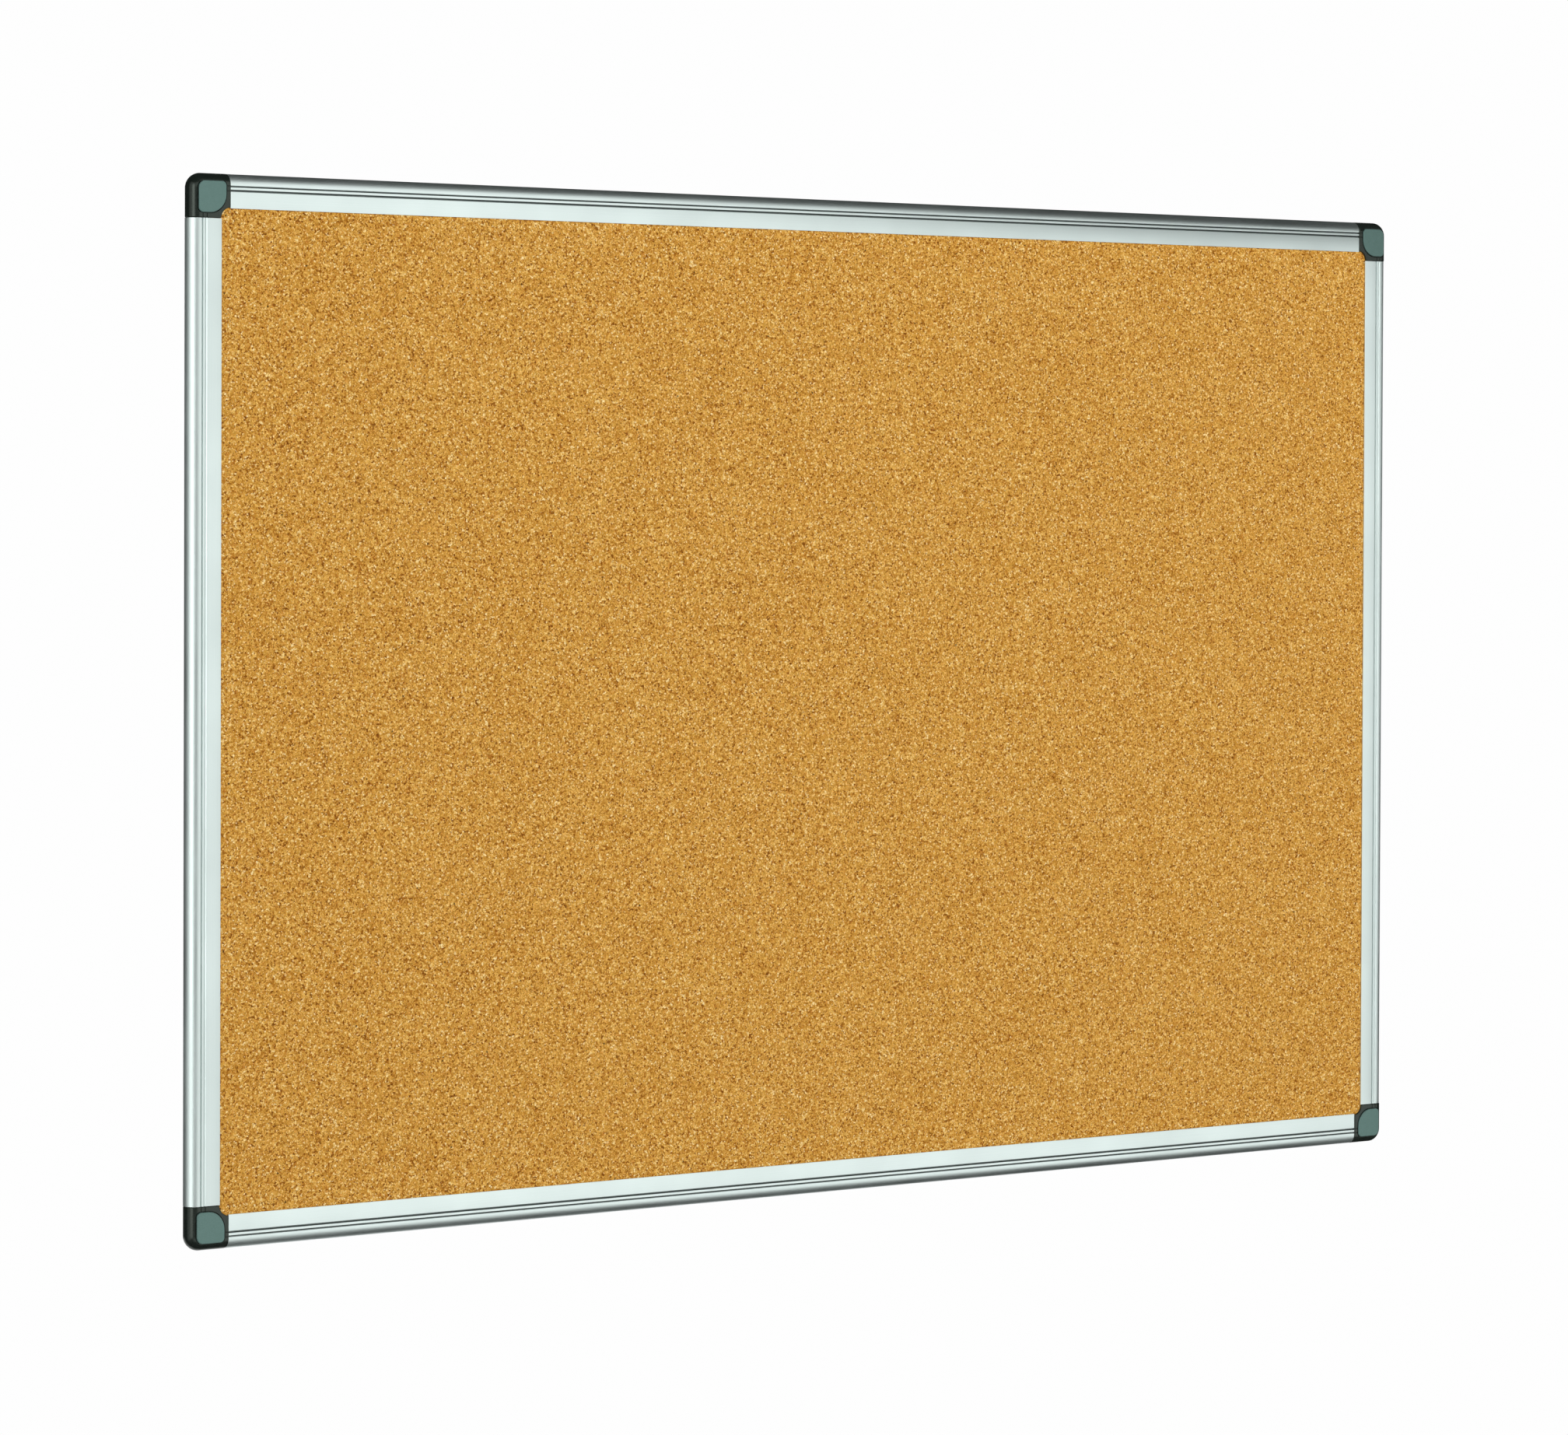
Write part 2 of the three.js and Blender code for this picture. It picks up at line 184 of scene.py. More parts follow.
# ------------------------------------------------------------------- materials
def cork_material():
    """Pressed cork granules, 1 to 2 mm, in tans and browns, with darker seams and a few bark specks."""
    k = Kit("pressed_cork")
    p = k.coords()
    # irregular granules: the lookup is pushed about by soft noise
    push = k.vmath("SUBTRACT", k.noise(p, 1.4, 2.0, 0.6, colour=True), (0.5, 0.5, 0.5))
    q = k.vmath("ADD", p, k.vmath("MULTIPLY", push, (0.85, 0.85, 0.85)))
    small = k.voronoi(q, 1.05)
    edge = k.voronoi(q, 1.05, "DISTANCE_TO_EDGE")["Distance"]
    crumb = k.voronoi(q, 2.2)
    pick = k.vmath("DOT_PRODUCT", small["Color"], (1.0, 0.0, 0.0))
    pick_crumb = k.vmath("DOT_PRODUCT", crumb["Color"], (0.0, 1.0, 0.0))
    fine = k.noise(p, 3.4, 3.0, 0.65)
    # one granule in four is broken into crumbs of its own tones
    broken = k.math("LESS_THAN", k.vmath("DOT_PRODUCT", small["Color"], (0.0, 1.0, 0.0)), 0.30)
    own = k.math("MULTIPLY", pick, k.math("SUBTRACT", 1.0, k.math("MULTIPLY", broken, 0.75)))
    tone = k.math("ADD", own, k.math("MULTIPLY", k.math("MULTIPLY", broken, 0.75), pick_crumb))
    tone = k.math("ADD", tone, k.math("MULTIPLY", k.math("SUBTRACT", fine, 0.5), 0.55))
    colour = k.ramp(
        tone,
        [
            (0.00, srgb(108, 50, 2)),
            (0.08, srgb(141, 80, 10)),
            (0.22, srgb(181, 117, 33)),
            (0.42, srgb(207, 148, 55)),
            (0.60, srgb(223, 165, 71)),
            (0.78, srgb(240, 188, 94)),
            (0.92, srgb(252, 213, 132)),
            (1.00, srgb(255, 230, 172)),
        ],
    )
    # reddish and olive granules
    hue = k.vmath("DOT_PRODUCT", small["Color"], (0.0, 0.0, 1.0))
    colour = k.mix(k.range(hue, 0.72, 1.0, 0.0, 0.34), colour, srgb(216, 136, 60))
    colour = k.mix(k.range(hue, 0.20, 0.0, 0.0, 0.26), colour, srgb(186, 150, 66))
    # dark seams where granules meet
    seam = k.range(edge, 0.0, 0.12, 1.0, 0.0, smooth=True)
    colour = k.mix(k.math("MULTIPLY", seam, 0.42), colour, srgb(118, 64, 12))
    # bark specks
    speck = k.voronoi(q, 0.30)
    speck_on = k.math("LESS_THAN", k.vmath("DOT_PRODUCT", speck["Color"], (0.0, 0.0, 1.0)), 0.020)
    speck_at = k.range(speck["Distance"], 0.12, 0.24, 1.0, 0.0, smooth=True)
    specks = k.math("MULTIPLY", speck_on, speck_at)
    colour = k.mix(k.math("MULTIPLY", specks, 0.90), colour, srgb(52, 30, 12))
    # faint clouding over centimetres
    cloud = k.noise(p, 0.045, 3.0, 0.55)
    colour = k.mix(k.range(cloud, 0.38, 0.70, 0.0, 0.04), colour, srgb(176, 116, 40))
    colour = k.mix(k.range(cloud, 0.62, 0.30, 0.0, 0.04), colour, srgb(232, 184, 104))
    height = k.math("ADD", k.math("MULTIPLY", tone, 0.35), k.math("MULTIPLY", k.range(edge, 0.0, 0.16), 0.5))
    height = k.math("SUBTRACT", height, k.math("MULTIPLY", specks, 0.5))
    k.set(Base_Color=colour, Roughness=k.range(tone, 0.0, 1.0, 0.94, 0.76))
    k.bsdf.inputs["Specular IOR Level"].default_value = 0.2
    k.set(Normal=k.bump(height, 0.5, 0.0003))
    return k.mat


def aluminium_material(name, along):
    """Satin anodised aluminium, its grain drawn along one axis, with painted shade darkening its two grooves, which are
    also rougher, and painted shade making the rails along z a little darker.
    """
    k = Kit(name)
    p = k.coords()
    slow, fast = 0.012, 2.4
    stretch = tuple(slow if i == along else fast for i in range(3))
    long_grain = k.noise(k.vmath("MULTIPLY", p, stretch), 1.0, 3.0, 0.6)
    stretch2 = tuple(0.05 if i == along else 6.0 for i in range(3))
    hair = k.noise(k.vmath("MULTIPLY", p, stretch2), 1.0, 2.0, 0.5)
    grit = k.noise(p, 3.2, 2.0, 0.6)
    smudge = k.noise(p, 0.018, 4.0, 0.6)
    tone = k.math("ADD", k.math("MULTIPLY", long_grain, 0.40), k.math("MULTIPLY", hair, 0.25))
    tone = k.math("ADD", tone, k.math("MULTIPLY", grit, 0.35))
    # painted shade: the rails along z get a colour 5% darker than the rails along x, standing in for the dimmer light
    # on them
    painted_side_shade = 1.0 if along == 0 else 0.95
    colour = k.mix(k.range(tone, 0.30, 0.70), (0.775 * painted_side_shade, 0.862 * painted_side_shade, 0.845 * painted_side_shade), (0.845 * painted_side_shade, 0.925 * painted_side_shade, 0.908 * painted_side_shade))
    # how far a point is from the rail's inner edge, and how deep below its face
    sep = k.nt.nodes.new("ShaderNodeSeparateXYZ")
    k.nt.links.new(p, sep.inputs[0])
    across = sep.outputs[2 if along == 0 else 0]
    edge = (H if along == 0 else W) / 2 - RAIL_FACE
    t = k.math("SUBTRACT", k.math("ABSOLUTE", across), edge)
    depth = k.math("ADD", sep.outputs[1], RAIL_DEPTH)
    low = k.range(depth, *((0.10, 0.60) if along == 0 else (0.60, 0.95)), 0.0, 1.0, smooth=True)
    inside = k.math("MULTIPLY", k.range(t, GROOVES[0][0] - 0.15, GROOVES[0][0] + 0.05), k.range(t, GROOVES[1][1] + 0.10, GROOVES[1][1] - 0.02))
    front = k.range(sep.outputs[1], -9.6, -9.8)
    # painted shade: the floors and walls of the two grooves are darkened towards a dark grey-green, strongly on the
    # rails along x and faintly on those along z, standing in for the shade inside them; the same mask makes them
    # rougher
    painted_groove_shade = k.math("MULTIPLY", k.math("MULTIPLY", low, inside), front)
    colour = k.mix(k.math("MULTIPLY", painted_groove_shade, 0.86 if along == 0 else 0.15), colour, (0.030, 0.042, 0.036))
    rough = k.math("ADD", k.range(tone, 0.3, 0.7, 0.315, 0.36), k.range(smudge, 0.3, 0.7, -0.02, 0.03))
    rough = k.math("ADD", rough, k.math("MULTIPLY", painted_groove_shade, 0.3))
    k.set(Base_Color=colour, Roughness=rough)
    k.bsdf.inputs["Metallic"].default_value = 1.0
    k.bsdf.inputs["Anisotropic"].default_value = 0.84
    k.bsdf.inputs["Anisotropic Rotation"].default_value = 0.25
    tan = k.nt.nodes.new("ShaderNodeTangent")
    tan.direction_type = "UV_MAP"
    tan.uv_map = "grain"
    k.nt.links.new(tan.outputs[0], k.bsdf.inputs["Tangent"])
    height = k.math("ADD", k.math("MULTIPLY", hair, 0.6), k.math("MULTIPLY", grit, 0.4))
    k.set(Normal=k.bump(height, 0.12, 0.00004))
    return k.mat


def plastic_material(name, dark, light, rough, grain, speckle, bump_mm, spec=0.5, metallic=0.0):
    """Moulded plastic with a spark-eroded grain and a few paler rubs."""
    k = Kit(name)
    p = k.coords()
    fine = k.noise(p, grain, 2.0, 0.6)
    cells = k.voronoi(p, grain * 1.3)
    broad = k.noise(p, 0.16, 3.0, 0.55)
    t = k.math("ADD", k.math("MULTIPLY", fine, speckle), k.math("MULTIPLY", broad, 1.0 - speckle))
    t = k.math("ADD", t, k.math("MULTIPLY", k.math("SUBTRACT", cells["Distance"], 0.45), speckle * 0.5))
    colour = k.mix(k.range(t, 0.30, 0.70), dark, light)
    k.set(Base_Color=colour, Roughness=k.range(broad, 0.3, 0.7, rough - 0.04, rough + 0.05))
    k.bsdf.inputs["Specular IOR Level"].default_value = spec
    k.bsdf.inputs["Specular Tint"].default_value = (0.90, 1.0, 0.90, 1.0)
    k.bsdf.inputs["Metallic"].default_value = metallic
    k.set(Normal=k.bump(k.math("ADD", fine, cells["Distance"]), 0.35, bump_mm * MM))
    return k.mat


def softboard_material():
    k = Kit("softboard_fibre")
    p = k.coords()
    fibre = k.noise(k.vmath("MULTIPLY", p, (0.5, 3.0, 1.6)), 1.0, 4.0, 0.65, distortion=1.2)
    clump = k.noise(p, 0.22, 3.0, 0.6)
    t = k.math("ADD", k.math("MULTIPLY", fibre, 0.6), k.math("MULTIPLY", clump, 0.4))
    colour = k.ramp(t, [(0.25, srgb(112, 84, 56)), (0.5, srgb(150, 118, 82)), (0.78, srgb(184, 154, 114))])
    k.set(Base_Color=colour, Roughness=k.range(t, 0.3, 0.7, 0.98, 0.88))
    k.set(Normal=k.bump(fibre, 0.6, 0.0004))
    return k.mat


def backing_material():
    """Grey fibre sheet: short fibres, darker flecks and long handling marks."""
    k = Kit("grey_fibre_sheet")
    p = k.coords()
    fibre_a = k.noise(k.vmath("MULTIPLY", p, (0.25, 1.0, 2.2)), 1.0, 3.0, 0.6, distortion=1.5)
    fibre_b = k.noise(k.vmath("MULTIPLY", p, (2.2, 1.0, 0.25)), 1.0, 3.0, 0.6, distortion=1.5)
    cloud = k.noise(p, 0.02, 4.0, 0.6)
    t = k.math("ADD", k.math("MULTIPLY", fibre_a, 0.34), k.math("MULTIPLY", fibre_b, 0.30))
    t = k.math("ADD", t, k.math("MULTIPLY", cloud, 0.36))
    colour = k.ramp(
        t, [(0.30, srgb(118, 112, 101)), (0.45, srgb(140, 134, 122)), (0.58, srgb(153, 147, 135)), (0.74, srgb(172, 166, 153))]
    )
    fleck = k.voronoi(p, 0.45)
    on = k.math("LESS_THAN", k.vmath("DOT_PRODUCT", fleck["Color"], (1.0, 0.0, 0.0)), 0.10)
    at = k.range(fleck["Distance"], 0.10, 0.22, 1.0, 0.0, smooth=True)
    colour = k.mix(k.math("MULTIPLY", k.math("MULTIPLY", on, at), 0.5), colour, srgb(84, 74, 60))
    rub = k.noise(k.vmath("MULTIPLY", p, (0.006, 1.0, 0.10)), 1.0, 5.0, 0.7)
    colour = k.mix(k.range(rub, 0.60, 0.78, 0.0, 0.22), colour, srgb(188, 183, 172))
    k.set(Base_Color=colour, Roughness=k.range(t, 0.3, 0.7, 0.92, 0.78))
    k.bsdf.inputs["Specular IOR Level"].default_value = 0.3
    k.set(Normal=k.bump(k.math("ADD", fibre_a, fibre_b), 0.30, 0.00012))
    return k.mat


def zinc_material():
    k = Kit("zinc_plated_steel")
    p = k.coords()
    spangle = k.voronoi(p, 1.4)
    fine = k.noise(p, 5.0, 2.0, 0.6)
    t = k.math("ADD", k.math("MULTIPLY", spangle["Distance"], 0.4), k.math("MULTIPLY", fine, 0.6))
    colour = k.mix(k.range(t, 0.25, 0.75), (0.50, 0.50, 0.47), (0.68, 0.68, 0.66))
    k.set(Base_Color=colour, Roughness=k.range(t, 0.25, 0.75, 0.28, 0.42))
    k.bsdf.inputs["Metallic"].default_value = 1.0
    k.set(Normal=k.bump(fine, 0.15, 0.00003))
    return k.mat


CORK = cork_material()
RAIL_H = aluminium_material("satin_aluminium_along_x", 0)
RAIL_V = aluminium_material("satin_aluminium_along_z", 2)
CORNER = plastic_material(
    "charcoal_moulded_plastic", (0.0085, 0.0125, 0.0100), (0.0130, 0.0175, 0.0145), 0.24, 2.6, 0.45, 0.010
)
CAP = plastic_material(
    "grey_green_moulded_plastic", (0.098, 0.172, 0.156), (0.150, 0.246, 0.226), 0.44, 2.2, 0.60, 0.03, 0.5, 0.6
)
SOFTBOARD = softboard_material()
BACKING = backing_material()
ZINC = zinc_material()


# -------------------------------------------------------------- mesh utilities
def mesh_object(name, verts, faces, material, body, node, normals=None):
    me = bpy.data.meshes.new(name)
    me.from_pydata([tuple(v) for v in verts], [], [tuple(f) for f in faces])
    me.validate()
    me.update()
    o = bpy.data.objects.new(name, me)
    scene.collection.objects.link(o)
    me.materials.append(material)
    me.polygons.foreach_set("use_smooth", [True] * len(me.polygons))
    if normals is not None:
        me.normals_split_custom_set_from_vertices([tuple(n) for n in normals])
    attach(o, body)
    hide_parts(node)
    return o


def apply_modifiers(o):
    dg = bpy.context.evaluated_depsgraph_get()
    me = bpy.data.meshes.new_from_object(o.evaluated_get(dg), depsgraph=dg)
    old = o.data
    o.modifiers.clear()
    me.name = old.name
    o.data = me
    bpy.data.meshes.remove(old)
    return o


def smooth_by_angle(o, degrees):
    """Smooth faces with sharp edges where faces meet at more than the angle."""
    me = o.data
    bm = bmesh.new()
    bm.from_mesh(me)
    limit = math.radians(degrees)
    for f in bm.faces:
        f.smooth = True
    for e in bm.edges:
        e.smooth = len(e.link_faces) == 2 and e.calc_face_angle(0.0) < limit
    bm.to_mesh(me)
    bm.free()
    me.update()


# ------------------------------------------------- solids from distance fields
def round_and(a, b, r):
    """Inside both, with the convex edge between them rounded to radius r."""
    return np.minimum(-r, np.maximum(a, b)) + np.hypot(np.maximum(r + a, 0), np.maximum(r + b, 0))


def round_or(a, b, r):
    """Inside either, with a fillet of radius r between them."""
    return np.maximum(r, np.minimum(a, b)) - np.hypot(np.maximum(r - a, 0), np.maximum(r - b, 0))


def slab(t, lo, hi):
    return np.maximum(lo - t, t - hi)


def box_field(x, y, z, lo, hi, r=0.0):
    """Distance to a box with rounded edges."""
    q = [np.abs(c - (a + b) / 2) - ((b - a) / 2 - r) for c, a, b in zip((x, y, z), lo, hi)]
    out = np.sqrt(sum(np.maximum(c, 0) ** 2 for c in q))
    return out + np.minimum(np.maximum(np.maximum(q[0], q[1]), q[2]), 0) - r


def surface_of(field, lo, hi, step, ratio, name):
    """A closed mesh of where field is 0, thinned to ratio of its faces, with every vertex on the surface and its normal. Returns verts, faces, normals."""
    lo, hi = np.array(lo, float) - 1.5 * step, np.array(hi, float) + 1.5 * step
    n = np.ceil((hi - lo) / step).astype(int) + 1
    ax = [lo[i] + step * np.arange(n[i]) for i in range(3)]
    g = field(ax[0][:, None, None], ax[1][None, :, None], ax[2][None, None, :])
    g = np.broadcast_to(g, tuple(n)).astype(np.float64)
    inside = g < 0
    c = [(i, j, k) for i in (0, 1) for j in (0, 1) for k in (0, 1)]
    cut = lambda a, i, j, k: a[i : a.shape[0] - 1 + i, j : a.shape[1] - 1 + j, k : a.shape[2] - 1 + k]
    count = sum(cut(inside, *o).astype(np.int8) for o in c)
    cells = np.argwhere((count > 0) & (count < 8))
    idx = -np.ones(tuple(n - 1), np.int64)
    idx[tuple(cells.T)] = np.arange(len(cells))
    acc, num = np.zeros((len(cells), 3)), np.zeros(len(cells))
    for a in range(3):
        others = [b for b in range(3) if b != a]
        for u in (0, 1):
            for v in (0, 1):
                o0 = np.zeros(3, int)
                o0[others[0]], o0[others[1]] = u, v
                o1 = o0.copy()
                o1[a] = 1
                f0 = g[tuple((cells + o0).T)]
                f1 = g[tuple((cells + o1).T)]
                hit = (f0 < 0) != (f1 < 0)
                t = np.where(hit, f0 / np.where(hit, f0 - f1, 1), 0)
                p = np.tile(o0.astype(float), (len(cells), 1))
                p[:, a] = t
                acc += p * hit[:, None]
                num += hit
    verts = lo + step * (cells + acc / num[:, None])
    faces = []
    for a in range(3):
        b, d = (a + 1) % 3, (a + 2) % 3
        s0 = [slice(1, n[i] - 1) for i in range(3)]
        s1 = list(s0)
        s0[a], s1[a] = slice(0, n[a] - 1), slice(1, n[a])
        i0, i1 = inside[tuple(s0)], inside[tuple(s1)]
        for grow in (True, False):
            where = np.argwhere(i0 & ~i1 if grow else ~i0 & i1)
            base = where.copy()
            base[:, b] += 1
            base[:, d] += 1
            ring = []
            for du, dv in ((-1, -1), (0, -1), (0, 0), (-1, 0)):
                cc = base.copy()
                cc[:, b] += du
                cc[:, d] += dv
                ring.append(idx[tuple(cc.T)])
            quad = np.stack(ring if grow else ring[::-1], 1)
            faces.append(quad)
    faces = np.concatenate(faces)

    def f3(p):
        return field(p[:, 0], p[:, 1], p[:, 2])

    def settle(p, rounds, e=0.01):
        for _ in range(rounds):
            d = f3(p)
            grad = np.stack(
                [(f3(p + e * np.eye(3)[i]) - f3(p - e * np.eye(3)[i])) / (2 * e) for i in range(3)], 1
            )
            length = np.maximum(np.linalg.norm(grad, axis=1), 0.3)
            move = np.clip(d / length, -0.4 * step, 0.4 * step)
            p = p - (move / length)[:, None] * grad
        return p, grad / np.maximum(np.linalg.norm(grad, axis=1), 1e-6)[:, None]

    verts, _ = settle(verts, 3)
    if ratio < 1:
        me = bpy.data.meshes.new(name + "_work")
        me.from_pydata(verts.tolist(), [], faces.tolist())
        o = bpy.data.objects.new(name + "_work", me)
        scene.collection.objects.link(o)
        m = o.modifiers.new("thin", "DECIMATE")
        m.ratio = ratio
        m.use_collapse_triangulate = True
        apply_modifiers(o)
        me = o.data
        verts = np.array([v.co for v in me.vertices], float).reshape(-1, 3)
        faces = [tuple(f.vertices) for f in me.polygons]
        bpy.data.objects.remove(o)
        bpy.data.meshes.remove(me)
    verts, _ = settle(verts, 2)
    _, normals = settle(verts, 1, e=0.03)
    return verts, faces, normals


def turned_about_y(verts, normals, degrees, x, z):
    a = math.radians(degrees)
    r = np.array([[math.cos(a), 0, math.sin(a)], [0, 1, 0], [-math.sin(a), 0, math.cos(a)]])
    return (verts @ r.T + np.array([x, 0, z])) * MM, normals @ r.T


# ----------------------------------------------------------------------- rails
def arc(cx, cy, r, a0, a1, steps):
    return [
        (cx + r * math.cos(math.radians(a0 + (a1 - a0) * i / steps)), cy + r * math.sin(math.radians(a0 + (a1 - a0) * i / steps)))
        for i in range(steps + 1)
    ]


def softened(points, radius, steps=3):
    """A closed outline with each sharp corner of it rounded."""
    out = []
    n = len(points)
    for i, p in enumerate(points):
        a, b = np.array(points[i - 1]), np.array(points[(i + 1) % n])
        p = np.array(p)
        da, db = a - p, b - p
        la, lb = np.linalg.norm(da), np.linalg.norm(db)
        da, db = da / la, db / lb
        turn = math.pi - math.acos(float(np.clip(da @ db, -1, 1)))
        if turn < math.radians(14):
            out.append(tuple(p))
            continue
        cut = min(radius * math.tan(turn / 2), 0.45 * la, 0.45 * lb)
        s, e = p + da * cut, p + db * cut
        for j in range(steps + 1):
            t = j / steps
            out.append(tuple((1 - t) ** 2 * s + 2 * t * (1 - t) * p + t * t * e))
    return out


def tube_section(clear):
    r = NOSE_R - RAIL_WALL - clear
    top = 9.8 - clear
    a = math.degrees(math.asin((top - NOSE_R) / r))
    inner = CHANNEL_DEPTH + RAIL_WALL + clear
    return [(inner, RAIL_WALL + clear), *arc(RAIL_WIDTH - NOSE_R, NOSE_R, r, -90, a, 20), (inner, top)]


def rail_mesh(length, name):
    """One rail along X, its inner edge on z = 0 and its back on y = 0, in mm."""
    nose = RAIL_WIDTH - NOSE_R
    (g0, g1), (g2, g3) = GROOVES
    floor = GROOVE_FLOOR
    outer = [
        (0.0, RAIL_DEPTH - LIP_WALL),
        (0.0, RAIL_DEPTH),
        (g0, RAIL_DEPTH),
        (g1, floor),
        (g1 + 0.06, floor),
        (g1 + 0.30, RAIL_DEPTH + 0.02),
        (g2 - 0.18, RAIL_DEPTH + 0.02),
        (g2 - 0.03, floor + 0.06),
        (g2 + 0.03, floor + 0.06),
        (g3, 11.98),
        *arc(nose, NOSE_R, NOSE_R, 90, -90, 46),
        (FLANGE_SETBACK, 0.0),
        (FLANGE_SETBACK, RAIL_WALL),
        (CHANNEL_DEPTH, RAIL_WALL),
        (CHANNEL_DEPTH, RAIL_DEPTH - LIP_WALL),
    ]
    outer = softened(outer, 0.09)
    hole = softened(tube_section(0), 0.4)
    bm = bmesh.new()

    def ring(points, x, inset=0.0):
        return [bm.verts.new((x, -v, t)) for t, v in points]

    ends = []
    for x in (-length / 2, length / 2):
        ends.append((ring(outer, x), ring(hole, x)))
    for part in (0, 1):
        a, b = ends[0][part], ends[1][part]
        m = len(a)
        for i in range(m):
            bm.faces.new((a[i], a[(i + 1) % m], b[(i + 1) % m], b[i]))
    for o_ring, h_ring in ends:
        edges = []
        for r in (o_ring, h_ring):
            for i in range(len(r)):
                e = bm.edges.get((r[i], r[(i + 1) % len(r)]))
                edges.append(e)
        bmesh.ops.triangle_fill(bm, edges=edges, use_beauty=True, use_dissolve=False)
    bmesh.ops.recalc_face_normals(bm, faces=bm.faces)
    me = bpy.data.meshes.new(name)
    bm.to_mesh(me)
    bm.free()
    me.transform(Matrix.Diagonal((MM, MM, MM, 1)))
    return me


def seat_cutter(x, z):
    """The countersunk hole for a rail screw."""
    bm = bmesh.new()
    profile = [(4.3, 1.0), (3.3, 0.0), (2.0, -1.3), (2.0, -3.0)]
    rings = []
    steps = 40
    for r, y in profile:
        rings.append([bm.verts.new((x + r * math.cos(2 * math.pi * i / steps), y, z + r * math.sin(2 * math.pi * i / steps))) for i in range(steps)])
    for a, b in zip(rings, rings[1:]):
        for i in range(steps):
            bm.faces.new((a[i], a[(i + 1) % steps], b[(i + 1) % steps], b[i]))
    bm.faces.new(rings[0])
    bm.faces.new(rings[-1])
    bmesh.ops.recalc_face_normals(bm, faces=bm.faces)
    me = bpy.data.meshes.new("seat")
    bm.to_mesh(me)
    bm.free()
    me.transform(Matrix.Diagonal((MM, MM, MM, 1)))
    o = bpy.data.objects.new("seat", me)
    scene.collection.objects.link(o)
    return o


def grain_map(me, along):
    """UVs whose first axis runs along the rail, for the direction of its grain."""
    uv = me.uv_layers.new(name="grain")
    axis = Vector((1, 0, 0)) if along == 0 else Vector((0, 0, 1))
    for f in me.polygons:
        across = f.normal.cross(axis)
        if across.length < 0.1:
            across = Vector((0, 1, 0))
            axis_f = f.normal.cross(across)
        else:
            axis_f = axis
        across = across.normalized()
        for li in f.loop_indices:
            co = me.vertices[me.loops[li].vertex_index].co
            uv.data[li].uv = (co.dot(axis_f), co.dot(across))


def make_rails():
    inner_x, inner_z = W / 2 - RAIL_FACE, H / 2 - RAIL_FACE
    end_x, end_z = W / 2 - CORNER_SIZE - 0.1, H / 2 - CORNER_SIZE - 0.1
    spec = {}
    for key, half in (("long", end_x), ("short", end_z)):
        me = rail_mesh(2 * half, "rail_" + key)
        o = bpy.data.objects.new("rail_work", me)
        scene.collection.objects.link(o)
        cutters = [seat_cutter(s * (half - LEG_SCREW_IN), LEG_SCREW_T) for s in (-1, 1)]
        for c in cutters:
            m = o.modifiers.new("cut", "BOOLEAN")
            m.operation, m.object, m.solver = "DIFFERENCE", c, "EXACT"
        apply_modifiers(o)
        for c in cutters:
            bpy.data.objects.remove(c)
        smooth_by_angle(o, 32)
        spec[key] = o.data
        bpy.data.objects.remove(o)
    for name, key, turn, x, z, mat in (
        ("rail_top", "long", 0, 0, inner_z, RAIL_H),
        ("rail_right", "short", 90, inner_x, 0, RAIL_V),
        ("rail_bottom", "long", 180, 0, -inner_z, RAIL_H),
        ("rail_left", "short", 270, -inner_x, 0, RAIL_V),
    ):
        me = spec[key].copy()
        me.name = name
        me.transform(Matrix.Translation((x * MM, 0, z * MM)) @ Matrix.Rotation(math.radians(turn), 4, "Y"))
        me.materials.clear()
        me.materials.append(mat)
        me.update()
        grain_map(me, 0 if key == "long" else 2)
        o = bpy.data.objects.new("satin_" + name, me)
        scene.collection.objects.link(o)
        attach(o, "board")
        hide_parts(name)


# --------------------------------------------------------------------- corners
IN = HOLE_INSET - CORNER_SIZE
LIP = HOLE_INSET - RAIL_FACE


def plan_corner(x, z, flat, r):
    """Distance to a quarter plane whose corner at (flat, flat) has radius r."""
    c = flat - r
    near = np.maximum(x, z) - flat
    far = np.hypot(np.maximum(x - c, 0), np.maximum(z - c, 0)) - r
    return np.where((x > c) & (z > c), far, near)


def cap_plan(x, z, grow):
    h = CAP_HALF + grow
    d = np.maximum(np.abs(x), np.abs(z)) - h
    for sx, sz, r in ((1, 1, 4.0), (-1, 1, 2.75), (-1, -1, 10.5), (1, -1, 2.75)):
        r = r + grow
        u, w = sx * x - (h - r), sz * z - (h - r)
        d = np.where((u > 0) & (w > 0), np.hypot(u, w) - r, d)
    return d


def leg_field(across, v, along):
    """A leg: across is t from the rail's inner edge, along is out of the block."""
    inner = CHANNEL_DEPTH + RAIL_WALL + GAP
    nose = RAIL_WIDTH - NOSE_R
    r = NOSE_R - RAIL_WALL - GAP
    section = np.maximum(np.maximum(inner - across, (RAIL_WALL + GAP) - v), v - (9.8 - GAP))
    round_side = np.where(across > nose, np.hypot(across - nose, v - NOSE_R) - r, np.abs(v - NOSE_R) - r)
    section = round_and(section, round_side, 0.3)
    return round_and(section, slab(along, -4.0, LEG_LENGTH), 0.6)


